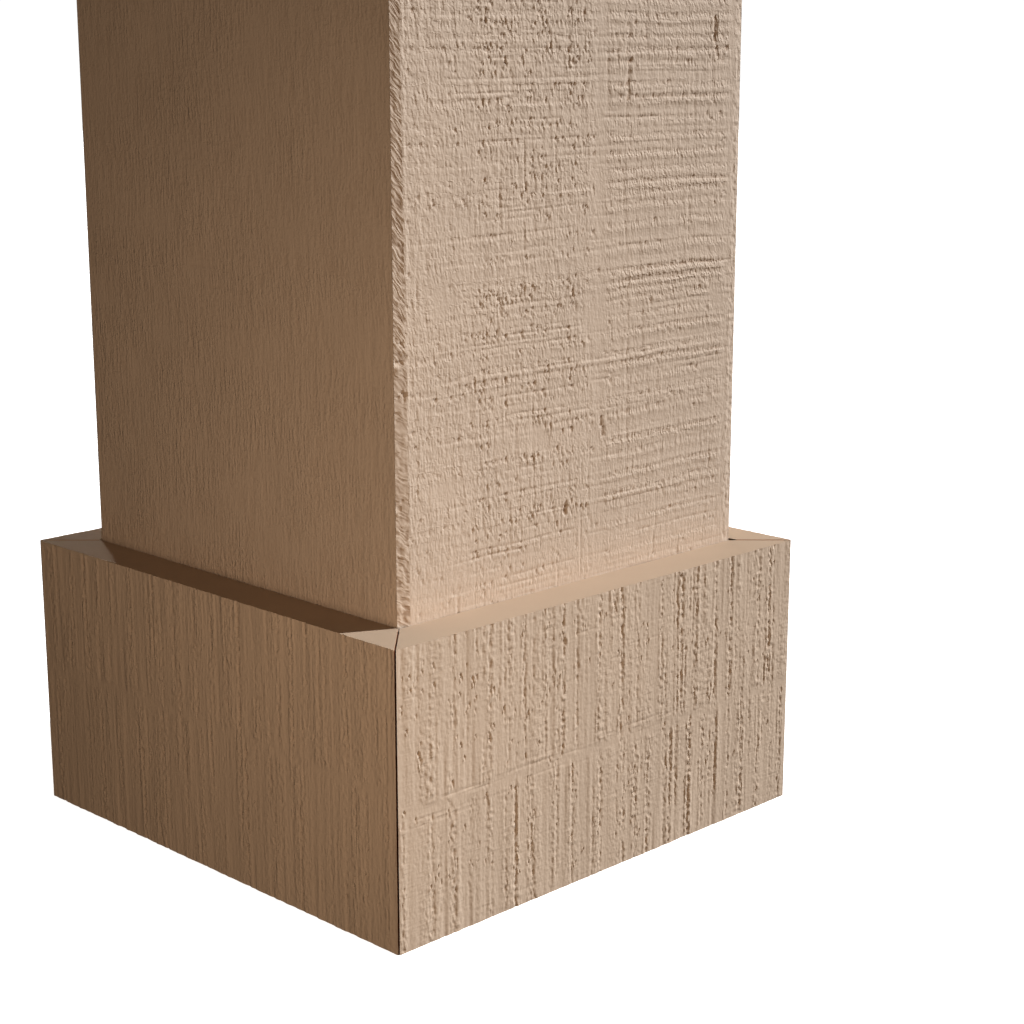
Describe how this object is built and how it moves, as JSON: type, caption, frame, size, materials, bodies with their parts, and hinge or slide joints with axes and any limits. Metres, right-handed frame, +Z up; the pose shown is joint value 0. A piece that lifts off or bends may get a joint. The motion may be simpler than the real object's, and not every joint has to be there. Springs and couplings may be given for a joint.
{
  "type": "column wrap",
  "caption": "Square hollow column wrap of mitred rough-sawn boards with a mitred board base round its foot, open at both ends so that it fits round a square post.",
  "frame": {"origin": "on the floor, on the column's axis, at the centre of the wrap's footprint", "axes": "+Z up along the column; the shaft board with eased long edges faces -Y; +X is to its right as seen from outside"},
  "size_m": [0.3048, 0.3048, 1],
  "materials": {
    "shaft_board": "matte tan primer on rough-sawn moulded faux wood: horizontal saw kerfs over a fine upright grain",
    "base_board": "matte tan primer on rough-sawn moulded faux wood: upright broken grain ridges with pits, and plain sawn top edges"
  },
  "bodies": {
    "root": {"shaft_board_front": "shaft_board", "shaft_board_right": "shaft_board", "shaft_board_back": "shaft_board", "shaft_board_left": "shaft_board", "base_board_front": "base_board", "base_board_right": "base_board", "base_board_back": "base_board", "base_board_left": "base_board"}
  },
  "joints": []
}
